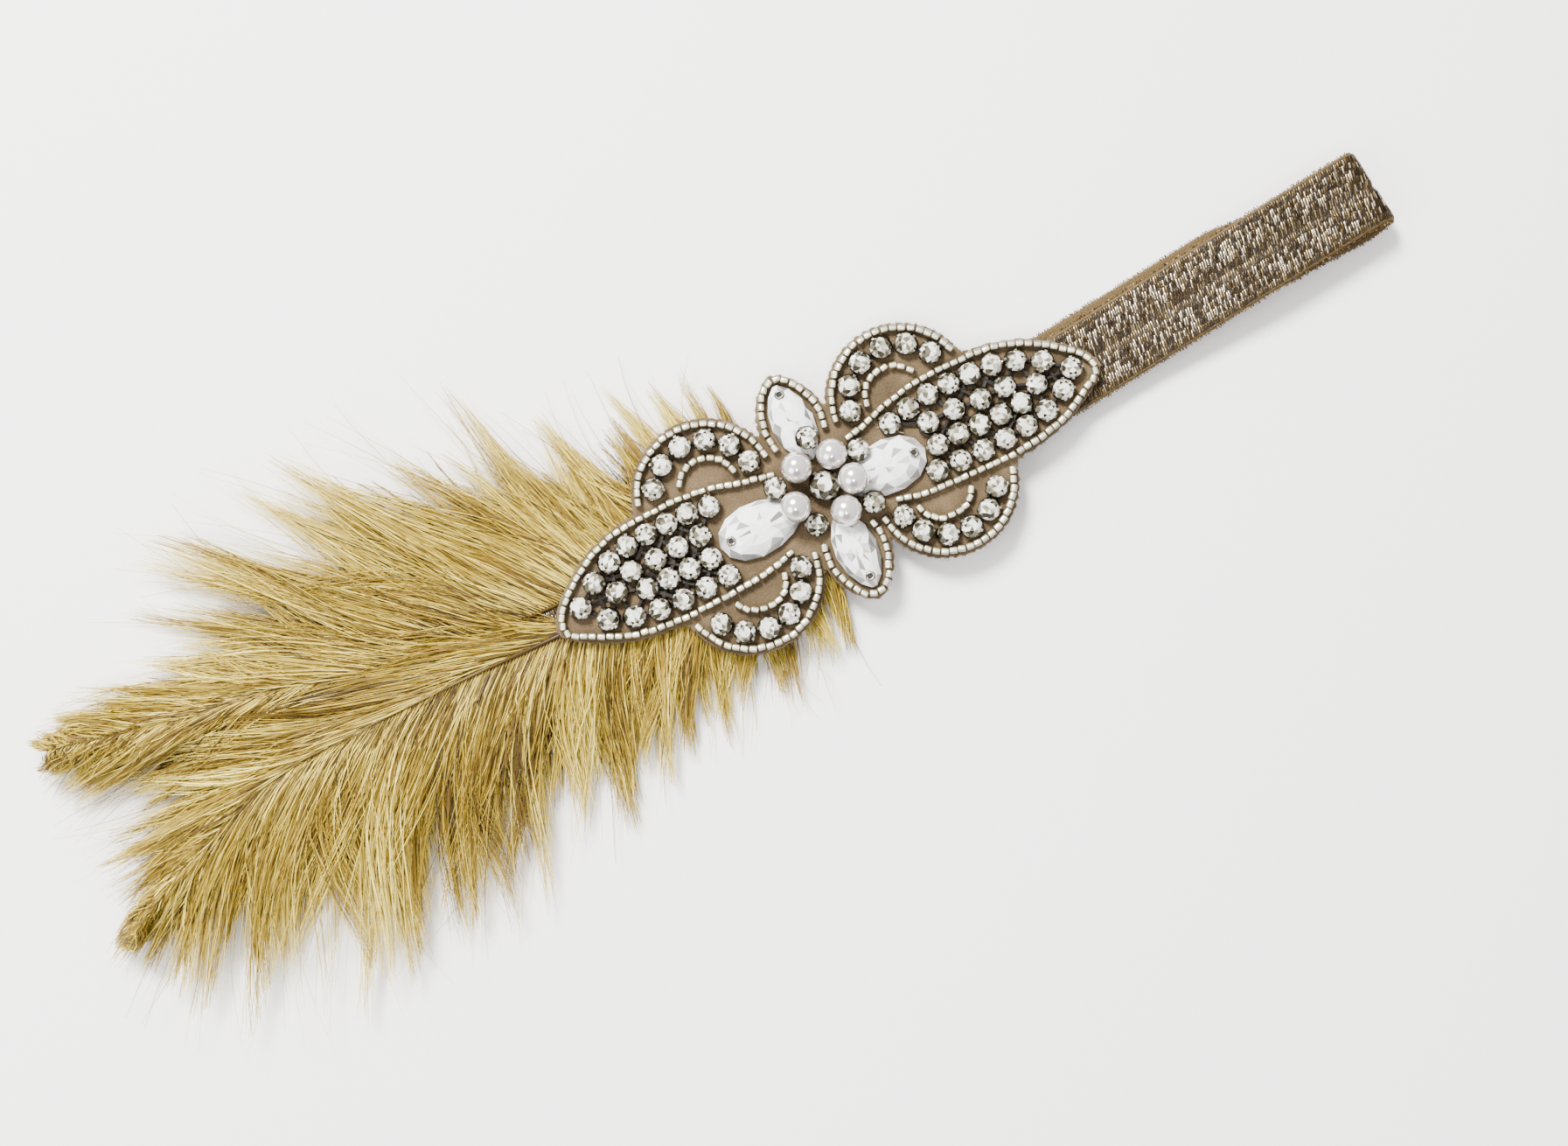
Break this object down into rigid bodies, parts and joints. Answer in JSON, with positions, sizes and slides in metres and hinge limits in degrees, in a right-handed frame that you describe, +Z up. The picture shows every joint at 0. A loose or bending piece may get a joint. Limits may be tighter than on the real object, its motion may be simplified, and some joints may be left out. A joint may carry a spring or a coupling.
{
  "type": "flapper feather headband",
  "caption": "Folded loop of metallic elastic with a beaded crystal and pearl applique and two ostrich plumes tucked behind it, lying flat.",
  "frame": {"origin": "on the underside of the loop's lower layer, straight below the applique's middle stone", "axes": "+X along the applique towards the loop's free fold, +Y across the loop, +Z up from the surface that it lies on"},
  "size_m": [0.2921, 0.0939, 0.0148],
  "materials": {
    "elastic": "metallic knitted elastic, silver, gold and brown yarns, matte brown inner face",
    "felt": "thin translucent greyish taupe felt",
    "plume": "soft champagne gold ostrich barbs on dark brown shafts",
    "rhinestone": "clear foil-backed round stones in silver claw cups",
    "crystal": "clear foil-backed faceted sew-on stones",
    "pearl": "pale lustrous imitation pearl",
    "seed_bead": "silver-lined champagne glass seed beads"
  },
  "bodies": {
    "root": {"band": "elastic", "backing": "felt", "feather_front": "plume", "feather_back": "plume", "leaf_stones_right": "rhinestone", "leaf_beads_right": "seed_bead", "pear_stone_right": "crystal", "leaf_stones_left": "rhinestone", "leaf_beads_left": "seed_bead", "pear_stone_left": "crystal", "petal_beads_upper": "seed_bead", "navette_stone_upper": "crystal", "petal_beads_lower": "seed_bead", "navette_stone_lower": "crystal", "scroll_stones_upper_right": "rhinestone", "scroll_beads_upper_right": "seed_bead", "arch_beads_upper_right": "seed_bead", "scroll_stones_upper_left": "rhinestone", "scroll_beads_upper_left": "seed_bead", "arch_beads_upper_left": "seed_bead", "scroll_stones_lower_right": "rhinestone", "scroll_beads_lower_right": "seed_bead", "arch_beads_lower_right": "seed_bead", "scroll_stones_lower_left": "rhinestone", "scroll_beads_lower_left": "seed_bead", "arch_beads_lower_left": "seed_bead", "middle_stone": "rhinestone", "pearl_1": "pearl", "pearl_2": "pearl", "pearl_3": "pearl", "pearl_4": "pearl", "pearl_5": "pearl", "cluster_stone_1": "rhinestone", "cluster_stone_2": "rhinestone", "cluster_stone_3": "rhinestone", "cluster_stone_4": "rhinestone", "cluster_stone_5": "rhinestone"}
  },
  "joints": []
}
